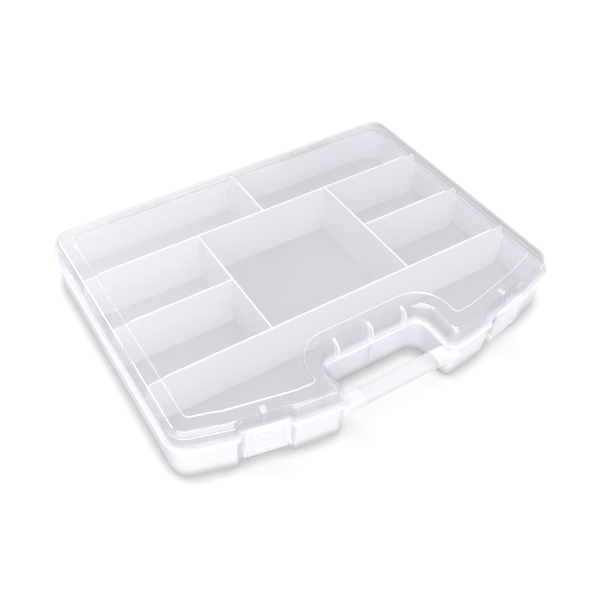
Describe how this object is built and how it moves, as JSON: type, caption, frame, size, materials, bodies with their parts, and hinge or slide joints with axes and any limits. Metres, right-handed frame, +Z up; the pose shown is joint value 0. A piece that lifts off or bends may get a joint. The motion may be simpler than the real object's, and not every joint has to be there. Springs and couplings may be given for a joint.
{
  "type": "photo keeper case",
  "caption": "Flat carry case with a compartment tray, a clear hinged lid, swing latches and a grip bar, for photo prints and craft parts.",
  "frame": {"origin": "on the table, under the middle of the closed case", "axes": "+X to the right along the front, +Y to the hinge, +Z up"},
  "size_m": [0.37, 0.2897, 0.055],
  "materials": {
    "tray_plastic": "translucent satin",
    "lid_plastic": "clear gloss",
    "latch_plastic": "translucent satin",
    "pin_steel": "drawn wire"
  },
  "bodies": {
    "case": {"base_tray": "tray_plastic", "front_cross_divider": "tray_plastic", "left_cross_divider": "tray_plastic", "right_cross_divider": "tray_plastic", "back_cross_divider": "tray_plastic", "left_centre_divider": "tray_plastic", "right_centre_divider": "tray_plastic", "back_row_divider": "tray_plastic", "grip_bar": "tray_plastic", "left_hinge_pin": "pin_steel", "right_hinge_pin": "pin_steel"},
    "lid": {"clear_lid": "lid_plastic"},
    "left_latch": {"left_latch": "latch_plastic"},
    "right_latch": {"right_latch": "latch_plastic"}
  },
  "joints": [
    {"name": "lid_hinge", "type": "hinge", "parent": "case", "child": "lid", "pos_m": [0, 0.14165, 0.0383], "axis": [-1, 0, 0], "range_deg": [0, 180]},
    {"name": "left_latch_pivot", "type": "hinge", "parent": "case", "child": "left_latch", "pos_m": [-0.11608, -0.13189, 0.018], "axis": [0.9783, -0.2073, 0], "range_deg": [0, 100]},
    {"name": "right_latch_pivot", "type": "hinge", "parent": "case", "child": "right_latch", "pos_m": [0.11608, -0.13189, 0.018], "axis": [0.9783, 0.2073, 0], "range_deg": [0, 100]}
  ]
}
